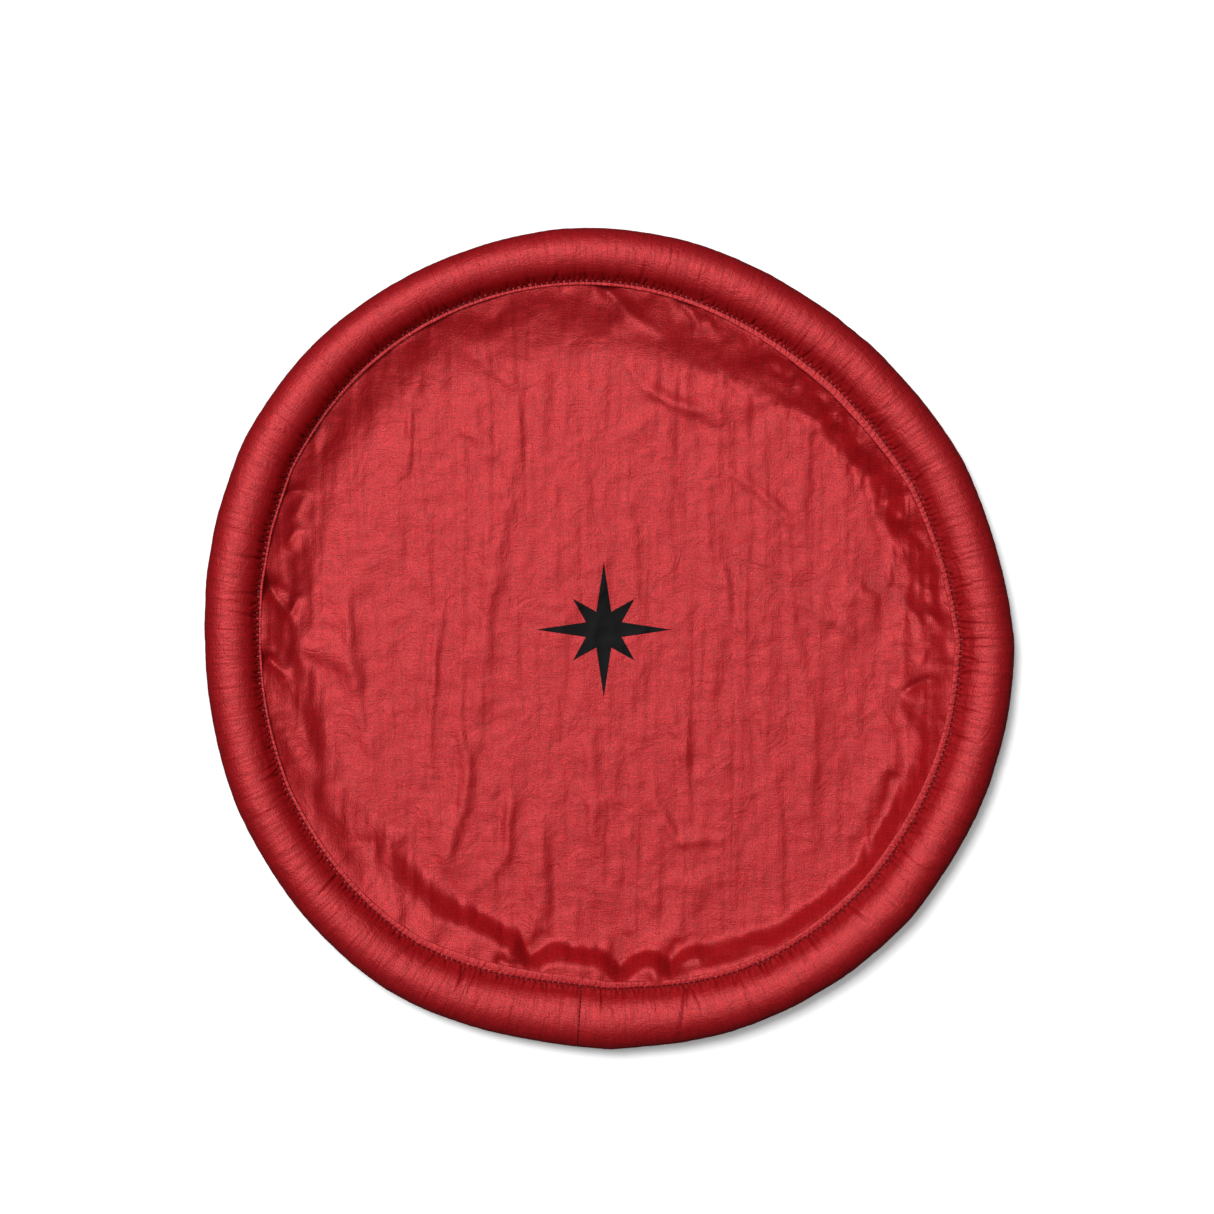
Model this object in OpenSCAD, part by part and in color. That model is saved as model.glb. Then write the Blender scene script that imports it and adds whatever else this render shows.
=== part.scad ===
// Soft folding flying disc: a slack cloth panel sewn into a padded ring.
// +Z is up and z = 0 is the plane that the disc rests on. The origin is under the disc's centre.
// The disc folds in half about a line along X, over the top of the rim. Each continuous piece is
// therefore drawn as two nodes: the near half lies at y < 0 and the far half at y > 0.

/* [Disc] */
// Diameter over the rim
disc_d = 250; // [200:5:320]
// How far the soft rim flattens where it rests
rest_flat = 0.35; // [0.1:0.05:0.8]

/* [Rim core] */
// Diameter of the foam rod inside the rim
core_d = 14.4; // [11:0.2:22]
// Glued gap between the rod's two ends
core_butt_gap = 0.2; // [0.1:0.05:0.6]
// Angle round the disc of the rod's joint
core_butt_a = 274; // [272:1:350]
// Length of the tape over the rod's joint
tape_len = 22; // [10:1:40]
// Thickness of the tape
tape_t = 0.15; // [0.1:0.05:0.3]

/* [Cloth] */
// Thickness of the cloth
cloth_t = 0.3; // [0.2:0.05:0.5]
// Slack between the foam rod and the sleeve round it
sleeve_ease = 0.4; // [0.4:0.05:1.2]
// Width of the sewn edges that hold the panel
flange_w = 3.4; // [2.4:0.2:6]

/* [Panel] */
// Height of the panel's underside where it lies flat
panel_lift = 0.5; // [0.2:0.1:3]
// Width of the band in which the panel climbs to the seam
panel_rise_w = 16; // [8:1:30]

/* [Sewing] */
// Width of a line of thread
thread_w = 0.5; // [0.3:0.05:0.8]
// Thickness of the thread on the outside
needle_t = 0.25; // [0.15:0.05:0.3]
// Thickness of the thread on the inside
bobbin_t = 0.2; // [0.1:0.05:0.25]
// Distance of the ring seam inside the padded rim
stitch_inset = 1; // [1:0.1:2]
// Angle round the disc of the seam that closes the sleeve
end_seam_a = 266; // [190:1:267]

/* [Printed mark] */
// Size over the mark's four long points
mark_d = 42; // [20:1:70]
// Size over the mark's four short points
mark_short_d = 27; // [14:1:45]
// Size over the notches between the points
mark_notch_d = 12; // [6:1:20]
// Distance of the mark's centre behind the disc's centre
mark_y = 3.5; // [0:0.5:10]
// Thickness of the ink
ink_t = 0.1; // [0.05:0.05:0.2]

/* [Fold] */
// Gap between the two halves at the fold
fold_gap = 0.3; // [0.2:0.1:1]

/* [Hidden] */
$fn = 96;
seat_gap = 0.02;                          // between pieces that lie on each other
seam_gap = 0.05;                          // between the panel and each sewn edge
panel_ramp_gap = 1;                       // flat strip of panel beside the sewn edges

core_r = core_d / 2;
cavity_r = core_r + sleeve_ease;
rim_r = cavity_r + cloth_t;
ring_r = disc_d / 2 - rim_r;              // radius of the rim's centre line
rim_z = rim_r - rest_flat;                // height of the rim's centre line
rim_top = rim_z + rim_r;
rim_in_r = ring_r - rim_r;                // inner side of the padded rim

slot_h = cloth_t + 2 * seam_gap;          // room for the panel between the sewn edges
edge_t = 2 * cloth_t;                     // each sewn edge is turned under once
flange_h = slot_h + 2 * edge_t;
flange_in_r = rim_in_r - flange_w;
stitch_r = rim_in_r - stitch_inset;

panel_flat_r = flange_in_r - panel_ramp_gap - panel_rise_w;
panel_ramp_r = flange_in_r - panel_ramp_gap;
panel_edge_r = rim_in_r;
panel_seam_z = rim_z - cloth_t / 2;
panel_top = panel_lift + cloth_t;

tape_floor = cloth_t + seat_gap;          // the tape lies on the sleeve's flattened bottom
core_floor = tape_floor + tape_t + seat_gap;
tape_a = tape_len / ring_r * 180 / PI;
butt_a = core_butt_gap / ring_r * 180 / PI;

seam_clear_a = 8;                         // angle round the rim kept clear of the sewn edges
reach = disc_d;                           // longer than any piece, for cutting shapes

// ---- shared shapes ----

// The rim's round section at radius r, cut off flat at the height floor_z.
module rim_section(r, floor_z) {
    intersection() {
        translate([ring_r, rim_z]) circle(r);
        translate([ring_r - 2 * r, floor_z]) square([4 * r, 4 * r]);
    }
}

// What the near half of the disc keeps of its children.
module near_half() {
    intersection() {
        children();
        translate([-reach, -2 * reach - fold_gap / 2, -reach]) cube(2 * reach);
    }
}

// What the far half of the disc keeps of its children.
module far_half() {
    intersection() {
        children();
        translate([-reach, fold_gap / 2, -reach]) cube(2 * reach);
    }
}

// A flat ring of thread at the height z.
module thread_ring(z, thickness) {
    rotate_extrude() translate([stitch_r - thread_w / 2, z]) square([thread_w, thickness]);
}

// A band of thread round the rim at the sleeve's end seam, from one sewn edge to the other.
module thread_hoop(r, thickness, floor_z) {
    intersection() {
        rotate([0, 0, end_seam_a]) translate([ring_r, 0, rim_z]) rotate([90, 0, 0])
            rotate([0, 0, seam_clear_a - 180]) rotate_extrude(angle = 360 - 2 * seam_clear_a)
                translate([r, -thread_w / 2]) square([thickness, thread_w]);
        translate([-reach, -reach, floor_z]) cube(2 * reach);
    }
}

// ---- whole pieces, before they are divided at the fold ----

// Round cloth panel: flat in the middle, climbing to the seam at the rim's half height.
module centre_panel() {
    rotate_extrude() polygon([
        [0, panel_lift], [panel_flat_r, panel_lift],
        [panel_ramp_r, panel_seam_z], [panel_edge_r, panel_seam_z],
        [panel_edge_r, panel_seam_z + cloth_t], [panel_ramp_r, panel_seam_z + cloth_t],
        [panel_flat_r, panel_top], [0, panel_top]
    ]);
}

// Strip of cloth wrapped round the foam, with its two turned edges sewn over the panel.
module rim_sleeve() {
    rotate_extrude() difference() {
        union() {
            rim_section(rim_r, 0);
            translate([flange_in_r, rim_z - flange_h / 2]) square([flange_w + rim_r, flange_h]);
        }
        rim_section(cavity_r, cloth_t);
        translate([flange_in_r - 1, rim_z - slot_h / 2]) square([flange_w + rim_r, slot_h]);
    }
}

// Foam rod bent into a ring, with its two ends glued together.
module foam_core() {
    rotate([0, 0, core_butt_a + butt_a / 2]) rotate_extrude(angle = 360 - butt_a)
        rim_section(core_r, core_floor);
}

// Eight-pointed star of ink on the panel.
module printed_mark() {
    translate([0, mark_y, panel_top]) linear_extrude(ink_t) polygon([
        for (i = [0 : 15])
            let (d = i % 4 == 0 ? mark_d : i % 4 == 2 ? mark_short_d : mark_notch_d)
            d / 2 * [cos(22.5 * i), sin(22.5 * i)]
    ]);
}

// ---- nodes ----

module centre_panel_near() { color("#b9353c") near_half() centre_panel(); }

module centre_panel_far() { color("#b9353c") far_half() centre_panel(); }

module rim_sleeve_near() { color("#b4303a") near_half() rim_sleeve(); }

module rim_sleeve_far() { color("#b4303a") far_half() rim_sleeve(); }

module foam_core_near() { color("gainsboro") near_half() foam_core(); }

module foam_core_far() { color("gainsboro") far_half() foam_core(); }

// Thin tape wrapped over the glued ends of the foam rod.
module core_joint_tape() {
    color("khaki") rotate([0, 0, core_butt_a - tape_a / 2]) rotate_extrude(angle = tape_a)
        difference() {
            rim_section(core_r + seat_gap + tape_t, tape_floor);
            rim_section(core_r + seat_gap, tape_floor + tape_t);
        }
}

module rim_needle_thread_near() {
    color("#8e1c24") near_half() thread_ring(rim_z + flange_h / 2, needle_t);
}

module rim_needle_thread_far() {
    color("#8e1c24") far_half() thread_ring(rim_z + flange_h / 2, needle_t);
}

module rim_bobbin_thread_near() {
    color("#7c171f") near_half() thread_ring(rim_z - flange_h / 2 - bobbin_t, bobbin_t);
}

module rim_bobbin_thread_far() {
    color("#7c171f") far_half() thread_ring(rim_z - flange_h / 2 - bobbin_t, bobbin_t);
}

module end_seam_needle_thread() {
    color("#8e1c24") thread_hoop(rim_r + seat_gap, needle_t, 0);
}

module end_seam_bobbin_thread() {
    color("#7c171f") thread_hoop(cavity_r - seat_gap - bobbin_t, bobbin_t, cloth_t);
}

module printed_mark_near() { color("#141214") near_half() printed_mark(); }

module printed_mark_far() { color("#141214") far_half() printed_mark(); }

centre_panel_near();
centre_panel_far();
rim_sleeve_near();
rim_sleeve_far();
foam_core_near();
foam_core_far();
core_joint_tape();
rim_needle_thread_near();
rim_needle_thread_far();
rim_bobbin_thread_near();
rim_bobbin_thread_far();
end_seam_needle_thread();
end_seam_bobbin_thread();
printed_mark_near();
printed_mark_far();
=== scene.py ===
"""Looks of a soft folding flying disc: slack nylon panel, gathered padded rim, sewing and print."""

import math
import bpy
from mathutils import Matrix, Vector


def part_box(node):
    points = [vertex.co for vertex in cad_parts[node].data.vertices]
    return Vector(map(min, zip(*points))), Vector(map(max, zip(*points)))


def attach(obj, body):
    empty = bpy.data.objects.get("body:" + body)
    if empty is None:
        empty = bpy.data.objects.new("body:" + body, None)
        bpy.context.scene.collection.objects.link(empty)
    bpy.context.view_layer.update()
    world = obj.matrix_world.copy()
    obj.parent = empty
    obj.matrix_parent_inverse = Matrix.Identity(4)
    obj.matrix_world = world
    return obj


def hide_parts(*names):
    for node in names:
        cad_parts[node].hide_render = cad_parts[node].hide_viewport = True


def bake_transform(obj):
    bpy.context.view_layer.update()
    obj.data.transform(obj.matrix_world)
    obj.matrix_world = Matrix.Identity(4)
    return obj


bl_info = {
    "name": "Folding Flying Disc",
    "version": (1, 0, 0),
    "blender": (4, 5, 0),
    "location": "View3D > Sidebar > Flying Disc",
    "description": "Builds the cloth, foam, thread and ink of a folding flying disc round its frame",
    "category": "Object",
}

import bpy
import numpy as np
from mathutils import Vector, noise

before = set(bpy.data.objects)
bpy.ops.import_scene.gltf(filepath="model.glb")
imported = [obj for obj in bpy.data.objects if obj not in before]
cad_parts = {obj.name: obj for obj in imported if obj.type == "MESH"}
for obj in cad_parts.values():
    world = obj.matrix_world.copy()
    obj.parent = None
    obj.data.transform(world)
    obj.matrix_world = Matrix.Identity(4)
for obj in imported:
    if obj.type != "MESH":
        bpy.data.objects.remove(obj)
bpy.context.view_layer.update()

MM = 0.001
TAU = 2 * math.pi
NEAR, FAR = "near_half", "far_half"

# Sizes that the frame's own pieces have.
REST_FLAT = 0.35 * MM       # how far the rim flattens where it rests
THREAD_BAND = 0.5 * MM      # width of the frame's band of thread
RIM_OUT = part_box("rim_sleeve_far")[1].x
RIM_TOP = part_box("rim_sleeve_far")[1].z
RIM_R = (RIM_TOP + REST_FLAT) / 2
RIM_Z = RIM_TOP - RIM_R
STITCH_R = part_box("rim_needle_thread_far")[1].x - THREAD_BAND / 2
PANEL_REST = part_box("centre_panel_far")[0].z
MARK_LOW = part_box("printed_mark_near")[0]
MARK_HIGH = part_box("printed_mark_far")[1]
TAPE_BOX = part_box("core_joint_tape")


# ---- measures of the soft shape -------------------------------------------------------------

# How the rim has sagged out of a true circle: waves round the disc, size in mm, direction in degrees.
SAG_WAVES = ((2, 1.9, 118), (3, 1.2, 33), (4, 0.25, 170), (5, 0.4, -45), (7, 0.25, 105))
# Where the foam rod has kinked: direction in degrees, size in mm, width in degrees.
ROD_KINKS = ((0, 1.1, 5), (27, 0.7, 5), (151, 0.7, 5), (162, 0.5, 4), (171, 0.5, 4), (271, 0.9, 4),
             (205, 0.4, 5), (238, 0.4, 4), (318, 0.5, 5), (48, 0.4, 4))
# Where the rim is wider or narrower than its mean: direction, mm, width in degrees.
WIDTH_HUMPS = ((266, 2.2, 18), (120, -1.7, 24), (200, -0.4, 25), (35, 0.3, 30))
# Where the welt, the sleeve's turned edge inside the stitches, is wider: direction, mm, degrees.
WELT_HUMPS = ((250, 1.2, 14), (266, 0.5, 8), (45, 0.9, 16), (100, -0.6, 22), (150, -0.7, 25),
              (190, -0.7, 25), (325, 0.6, 25))

# How far the ring of stitches sits above the middle of the rim, and where it sits higher or
# lower than that: direction, mm, width in degrees.
SEAM_RISE = 1.0 * MM
SEAM_LIFTS = ((15, 1.8, 50), (92, -0.5, 25), (140, -1.9, 32), (190, -0.6, 25), (280, 1.0, 35))

# The welt's section from its hidden edge, out round its fold and back to the stitches: distances
# inward as shares of its width, and heights over the seam in mm.
WELT_LINE = ((-0.45, 0.10), (0.0, 0.10), (0.5, 0.11), (0.86, 0.11), (0.98, 0.14), (1.0, 0.20),
             (0.95, 0.28), (0.78, 0.35), (0.50, 0.38), (0.24, 0.36), (0.08, 0.26))

NECK = 1.5 * MM             # cloth between the stitches and the foam
WELT_W = 1.7 * MM           # mean width of the welt
FULLNESS = 1.35             # 1 is a round section, and more is fuller beside the stitches

# How the panel falls away from the seam: direction in degrees, width of the shelf that stays up
# beside the seam and width of the slope inside it, both in mm.
PANEL_FALL = (
    (0, 1, 26), (10, 2, 16), (20, 1, 12), (30, 1, 12), (45, 1, 13), (56, 1, 14), (63, 2, 16),
    (70, 2, 23), (78, 2, 33), (90, 2, 46), (110, 1, 44), (130, 1, 34), (150, 1, 34), (168, 2, 26),
    (178, 3, 16), (184, 2, 16), (192, 1, 34), (205, 2, 36), (220, 3, 30), (232, 6, 18), (243, 10, 8),
    (250, 9, 6.5), (254, 7, 6.5), (257, 2.5, 6), (260, 6, 6), (266, 7, 5.5), (270, 6, 5.5),
    (273, 1.5, 6), (276, 5, 5.5), (279, 6, 5.5), (281.5, 2, 6), (285, 5, 6), (292, 4, 7), (300, 1, 8),
    (310, 0, 8), (318, 0, 8), (327, 0, 9), (335, 0, 9), (342, 0, 12), (350, 1, 22),
)

# Creases of the panel: points along each in mm from the disc's centre, depth and width in mm.
PANEL_CREASES = (
    (((0, 109), (8, 101), (18, 94)), 1.5, 2.4),
    (((24, 105), (29, 98), (28, 94)), 1.8, 1.4),
    (((32, 99), (35, 93)), 1.2, 1.0),
    (((83, 18), (93, 12), (100, 3)), 2.6, 2.2),
    (((89, -43), (88, -54), (81, -62)), 1.6, 1.6),
    (((98, 17), (102, 13)), 1.3, 1.0),
    (((101, 8), (105, 3)), 1.4, 1.1),
    (((94, -15), (99, -12), (104, -13)), 1.6, 1.2),
    (((99, -5), (101, 2)), 0.9, 1.0),
    (((-105, 19), (-101, 13), (-97, 8)), 2.8, 1.4),
    (((-97, 8), (-94, 15)), 2.0, 1.5),
    (((-101, 17), (-96, 13)), 1.3, 3.0),
    (((-97, 31), (-94, 36)), 1.6, 1.7),
    (((-95, 39), (-91, 47)), 1.0, 1.8),
    (((-97, 46), (-91, 47)), 1.2, 1.0),
    (((-88, 66), (-89, 54)), 0.8, 1.6),
    (((-104, -5), (-97, -11)), 2.4, 1.5),
    (((-23, -98), (-18, -90)), 2.6, 1.7),
    (((5, -102), (6, -90)), 3.0, 1.7),
    (((20, -101), (23, -92)), 2.0, 1.5),
    (((21, -101), (37, -97), (51, -94)), 1.4, 1.4),
    (((-32, -98), (-22, -102)), 0.9, 1.2),
    (((40, 24), (60, 14), (86, -2)), 0.9, 3.4),
    (((1, 89), (7, 82), (14, 78)), 0.7, 3.0),
)

# Soft folds standing in the panel: points along each in mm, height and width in mm.
PANEL_FOLDS = (
    (((50, 85), (59, 80)), 0.6, 1.5),
    (((64, 77), (69, 71)), 0.9, 1.3),
    (((70, 70), (73, 65)), 0.6, 1.2),
    (((76, 63), (82, 55)), 0.9, 1.4),
    (((85, 51), (87, 44)), 0.8, 1.3),
    (((90, 40), (92, 36)), 0.7, 1.2),
    (((94, 34), (98, 28)), 0.9, 1.4),
    (((-26, 76), (-29, 50), (-34, 20), (-38, -10), (-40, -45)), 0.6, 2.6),
    (((-49, 22), (-52, 0), (-55, -30), (-56, -50)), 0.35, 1.4),
    (((-46, -20), (-42, -36), (-44, -52), (-50, -75)), 0.5, 2.0),
    (((-28, -42), (-30, -64), (-37, -76)), 0.45, 1.8),
    (((-4, -24), (-3, -55), (-1, -82)), 0.55, 2.4),
    (((1, 92), (9, 82), (22, 73), (42, 66)), 0.6, 2.0),
    (((36, 56), (48, 46), (61, 34)), 0.5, 2.0),
    (((50, 17), (66, 10), (87, -2)), 0.75, 2.4),
    (((-57, 82), (-59, 68), (-62, 50)), 0.45, 2.0),
    (((-81, 20), (-79, -6), (-74, -30), (-74, -52)), 0.45, 2.2),
    (((20, -18), (24, -32), (26, -48)), 0.4, 2.0),
    (((63, -8), (65, -34), (62, -56)), 0.5, 3.0),
    (((79, -6), (79, -36)), 0.3, 2.0),
    (((13, -46), (22, -62), (40, -61)), 0.4, 1.8),
    (((38, 24), (39, 8), (46, -2)), 0.4, 2.5),
    (((-46, 66), (-34, 62), (-33, 54)), 0.35, 2.0),
    (((-44, 92), (-36, 84), (-24, 77)), 0.45, 2.2),
    (((2, 60), (12, 66), (20, 64)), 0.3, 3.0),
    (((22, -76), (36, -74)), 0.4, 4.0),
    (((-60, -60), (-66, -62), (-80, -62)), 0.5, 2.0),
    (((-95, -8), (-92, -30), (-86, -45)), 0.7, 3.5),
)

FOLD_LIFT = 1.6             # times the heights above, once the panel has settled
CREASE_PRESS = 1.2          # times the depths above, pressed in again once the panel has settled

# How slack the panel is beside each stretch of the seam: direction, share of its slack, degrees.
PANEL_SLACK = ((265, 1.0, 30), (35, 0.8, 30), (345, 0.7, 25), (180, 0.5, 25), (75, 0.3, 20))

# Long creases of the sleeve: direction in degrees, lean in mm per mm, length and depth in mm.
SLEEVE_CREASES = (
    (85.3, -0.22, 9, 0.55), (90.6, 0.05, 5, 0.5), (75, -0.7, 5, 0.5), (66, -0.4, 4, 0.35),
    (41, -0.3, 8, 0.3), (28, 0.1, 7, 0.25), (18.5, 0.1, 7, 0.3), (6, 0.1, 4, 0.3),
    (154.4, 0.15, 7, 0.7), (171, 0.1, 12, 0.35), (163, -0.1, 13, 0.25), (177, 0, 6, 0.3),
    (246, 0.3, 12, 0.35), (238, 0.2, 8, 0.3), (273.8, -0.2, 6, 0.35), (284, -0.3, 13, 0.75),
    (292, -0.35, 6, 0.5), (310, -0.2, 5, 0.4), (330, 0.2, 6, 0.3), (205, 0.1, 6, 0.3),
    (220, -0.2, 7, 0.3), (128, 0.2, 5, 0.4), (110, 0.1, 5, 0.4), (345, 0.1, 5, 0.35),
)

MARK_SHORT = 0.643          # the mark's short points, as a share of its long ones
MARK_NOTCH = 0.286          # and the notches between them

CORE_JOINT_AT = 274         # degrees round the disc
END_SEAM_AT = 266           # degrees round the disc

RING_STEPS_PER_STITCH = 6
FLANK_STEPS = 13            # points of the sleeve's section between the stitches and the foam
ARC_STEPS = 36              # and round the foam
DITCH_Z = 0.16 * MM         # height of the cloth over the seam where a stitch pulls it down
DARKEST = 0.7               # how much of its colour the cloth loses to painted shade deep in a needle hole
SIM_SCALE = 10              # the cloth simulation works on a disc this many times larger
SIM_FRAMES = 36


# ---- colours --------------------------------------------------------------------------------

def linear(hex_colour):
    """An sRGB hex colour as linear red, green, blue and alpha."""
    channels = [int(hex_colour[i:i + 2], 16) / 255 for i in (1, 3, 5)]
    return [c / 12.92 if c <= 0.04045 else ((c + 0.055) / 1.055) ** 2.4 for c in channels] + [1.0]


# ---- settings that a user would change ------------------------------------------------------

class DiscSizes(bpy.types.PropertyGroup):
    stitch_length: bpy.props.FloatProperty(
        name="Stitch length", description="Length of one stitch of the sewing",
        default=1.7 * MM, min=1.2 * MM, max=4 * MM, unit="LENGTH", precision=5)
    thread_d: bpy.props.FloatProperty(
        name="Thread", description="Thickness of the sewing thread",
        default=0.28 * MM, min=0.1 * MM, max=0.5 * MM, unit="LENGTH", precision=5)
    cloth_t: bpy.props.FloatProperty(
        name="Cloth", description="Thickness of the nylon cloth",
        default=0.12 * MM, min=0.05 * MM, max=0.3 * MM, unit="LENGTH", precision=5)
    panel_cell: bpy.props.FloatProperty(
        name="Panel cell", description="Size of the panel's mesh squares before subdivision",
        default=1.8 * MM, min=1.5 * MM, max=6 * MM, unit="LENGTH", precision=5)
    panel_slack: bpy.props.FloatProperty(
        name="Panel slack", description="How much too long the panel's threads are for the ring",
        default=0.028, min=0, max=0.05)
    pucker: bpy.props.FloatProperty(
        name="Pucker", description="Depth of the gathers that the stitches pull into the sleeve",
        default=0.95 * MM, min=0, max=1.5 * MM, unit="LENGTH", precision=5)


class DiscColours(bpy.types.PropertyGroup):
    cloth: bpy.props.FloatVectorProperty(
        name="Cloth", description="Colour of the dyed nylon", subtype="COLOR", size=4,
        min=0, max=1, default=linear("#b20f18"))
    thread: bpy.props.FloatVectorProperty(
        name="Thread", description="Colour of the sewing thread", subtype="COLOR", size=4,
        min=0, max=1, default=linear("#5a0c12"))
    foam: bpy.props.FloatVectorProperty(
        name="Foam", description="Colour of the foam rod", subtype="COLOR", size=4,
        min=0, max=1, default=linear("#dcdcd6"))
    tape: bpy.props.FloatVectorProperty(
        name="Tape", description="Colour of the tape on the rod", subtype="COLOR", size=4,
        min=0, max=1, default=linear("#cdbb86"))
    ink: bpy.props.FloatVectorProperty(
        name="Ink", description="Colour of the printed mark", subtype="COLOR", size=4,
        min=0, max=1, default=linear("#060505"))
    floor: bpy.props.FloatVectorProperty(
        name="Floor", description="Colour of the studio floor", subtype="COLOR", size=4,
        min=0, max=1, default=linear("#ffffff"))


# ---- shape of the ring ----------------------------------------------------------------------

def turned(a, degrees):
    """The angle a, in radians, measured from a direction, between minus and plus half a turn."""
    return (a - math.radians(degrees) + math.pi) % TAU - math.pi


def hump(a, degrees, width):
    """A smooth hump that is 1 high at one direction and gone two widths away."""
    return np.exp(-(turned(a, degrees) / math.radians(width)) ** 2)


def kink(a, degrees, width):
    """A bend with straight sides and a small round tip, 1 high."""
    w = math.radians(width)
    tip = 0.25 * w
    return np.exp((tip - np.sqrt(turned(a, degrees) ** 2 + tip ** 2)) / w)


def rim_out(a):
    """Radius of the rim's outer side."""
    r = RIM_OUT + sum(size * MM * np.cos(k * a + math.radians(at)) for k, size, at in SAG_WAVES)
    return r + sum(size * MM * kink(a, at, width) for at, size, width in ROD_KINKS)


def rim_width(a):
    """Distance from the rim's outer side to the stitches."""
    return RIM_OUT - STITCH_R + sum(size * MM * hump(a, at, width) for at, size, width in WIDTH_HUMPS)


def stitch_r(a):
    """Radius of the ring of stitches."""
    return rim_out(a) - rim_width(a)


def seam_z(a):
    """Height of the ring of stitches. The sleeve has turned on the foam, so it is uneven."""
    lift = sum(size * MM * hump(a, at, width) for at, size, width in SEAM_LIFTS)
    return RIM_Z + SEAM_RISE + lift


def welt_w(a):
    """Width of the sleeve's turned edge inside the stitches."""
    return WELT_W + sum(size * MM * hump(a, at, width) for at, size, width in WELT_HUMPS)


def tube_half_w(a):
    """Half the width of the padded part of the rim."""
    return (rim_width(a) - NECK) / 2


def tube_centre_r(a):
    """Radius of the middle of the foam."""
    return rim_out(a) - tube_half_w(a)


def rounded_floor(z, soften):
    """Heights kept above the floor, with a soft edge where the piece begins to rest."""
    return (z + np.sqrt(z * z + soften * soften)) / 2


def column_angles(count):
    """Directions of the columns of a ring mesh, starting at the sleeve's end seam."""
    return math.radians(END_SEAM_AT) + np.arange(count) * TAU / count


def seam_length(angles):
    """Distance along the ring of stitches to each direction, and its whole length."""
    x, y = stitch_r(angles) * np.cos(angles), stitch_r(angles) * np.sin(angles)
    step = np.hypot(np.diff(x, append=x[0]), np.diff(y, append=y[0]))
    return np.concatenate([[0], np.cumsum(step)[:-1]]), step.sum()


def field(points, scale, seed, octaves=2):
    """Smooth noise between about -1 and 1 at each point, with features of the given size."""
    shift = Vector((seed * 7.31, seed * 3.17, seed * 5.73))
    flat = points.reshape(-1, 3) / scale
    value = [noise.fractal(Vector(p) + shift, 0.9, 2.0, octaves) for p in flat.tolist()]
    return np.array(value).reshape(points.shape[:-1])


def cloth_field(x, y, across, along, seed, octaves=2):
    """Smooth noise over the panel, its features so many mm across and along the warp."""
    return field(np.stack([x / across, y / along, 0 * x], -1), MM, seed, octaves)


# ---- making meshes --------------------------------------------------------------------------

def deselect_all():
    """Leaves nothing selected, because operators act on all that is."""
    for obj in bpy.context.selected_objects:
        obj.select_set(False)


def make_active(obj):
    """Selects one object alone."""
    deselect_all()
    obj.select_set(True)
    bpy.context.view_layer.objects.active = obj


def apply_modifier(obj, kind, **settings):
    """Adds a modifier with its settings and applies it."""
    make_active(obj)
    modifier = obj.modifiers.new(kind.title(), kind)
    for name, value in settings.items():
        setattr(modifier, name, value)
    bpy.ops.object.modifier_apply(modifier=modifier.name)


def coords(obj):
    """The piece's vertices as rows of x, y and z."""
    co = np.empty(len(obj.data.vertices) * 3)
    obj.data.vertices.foreach_get("co", co)
    return co.reshape(-1, 3)


def set_coords(obj, co):
    """Moves the piece's vertices."""
    obj.data.vertices.foreach_set("co", np.ascontiguousarray(co, np.float32).ravel())
    obj.data.update()


def ring_mesh(name, columns, uv, closed_round=True):
    """A mesh of columns round the disc, each a line of points. uv has the cloth's own measures.

    columns has one row per column, uv the same with a last column more, where the ring closes."""
    n, m = columns.shape[:2]
    last = n if closed_round else n - 1
    faces = []
    corners = []
    for i in range(last):
        k = (i + 1) % n
        for j in range(m - 1):
            faces.append((i * m + j, i * m + j + 1, k * m + j + 1, k * m + j))
            corners += [(i, j), (i, j + 1), (i + 1, j + 1), (i + 1, j)]
    mesh = bpy.data.meshes.new(name)
    mesh.from_pydata(columns.reshape(-1, 3).tolist(), [], faces)
    layer = mesh.uv_layers.new(name="cloth")
    at = np.array(corners)
    layer.data.foreach_set("uv", uv[at[:, 0], at[:, 1]].astype(np.float32).ravel())
    obj = bpy.data.objects.new(name, mesh)
    bpy.context.scene.collection.objects.link(obj)
    return obj


def outward(obj):
    """Turns the piece's faces to point outwards."""
    make_active(obj)
    bpy.ops.object.mode_set(mode="EDIT")
    bpy.ops.mesh.select_all(action="SELECT")
    bpy.ops.mesh.normals_make_consistent(inside=False)
    bpy.ops.object.mode_set(mode="OBJECT")


def set_painted_shade(piece, value):
    """Stores the painted shade of each point, from 0 to DARKEST: darkness painted where it lies in a
    needle hole or in the tucks.
    """
    layer = piece.data.attributes.new("tuck", "FLOAT", "POINT")
    layer.data.foreach_set("value", np.clip(value, 0, DARKEST).astype(np.float32).ravel())


def thread_tube(name, points, diameter, closed):
    """A thread of round section along a line of points, as a mesh."""
    curve = bpy.data.curves.new(name, "CURVE")
    curve.dimensions = "3D"
    curve.bevel_depth = diameter / 2
    curve.bevel_resolution = 1
    curve.use_fill_caps = not closed
    spline = curve.splines.new("POLY")
    spline.points.add(len(points) - 1)
    spline.points.foreach_set("co", np.hstack([points, np.ones((len(points), 1))]).ravel())
    spline.use_cyclic_u = closed
    obj = bpy.data.objects.new(name, curve)
    bpy.context.scene.collection.objects.link(obj)
    make_active(obj)
    bpy.ops.object.convert(target="MESH")
    obj = bpy.context.object
    obj.name = name
    bpy.ops.object.shade_smooth()
    outward(obj)
    return obj


def across_fold(piece, *nodes):
    """The piece stands for its two halves: it hides them and bakes its own place into its mesh."""
    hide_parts(*nodes)
    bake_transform(piece)


# ---- materials ------------------------------------------------------------------------------

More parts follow.
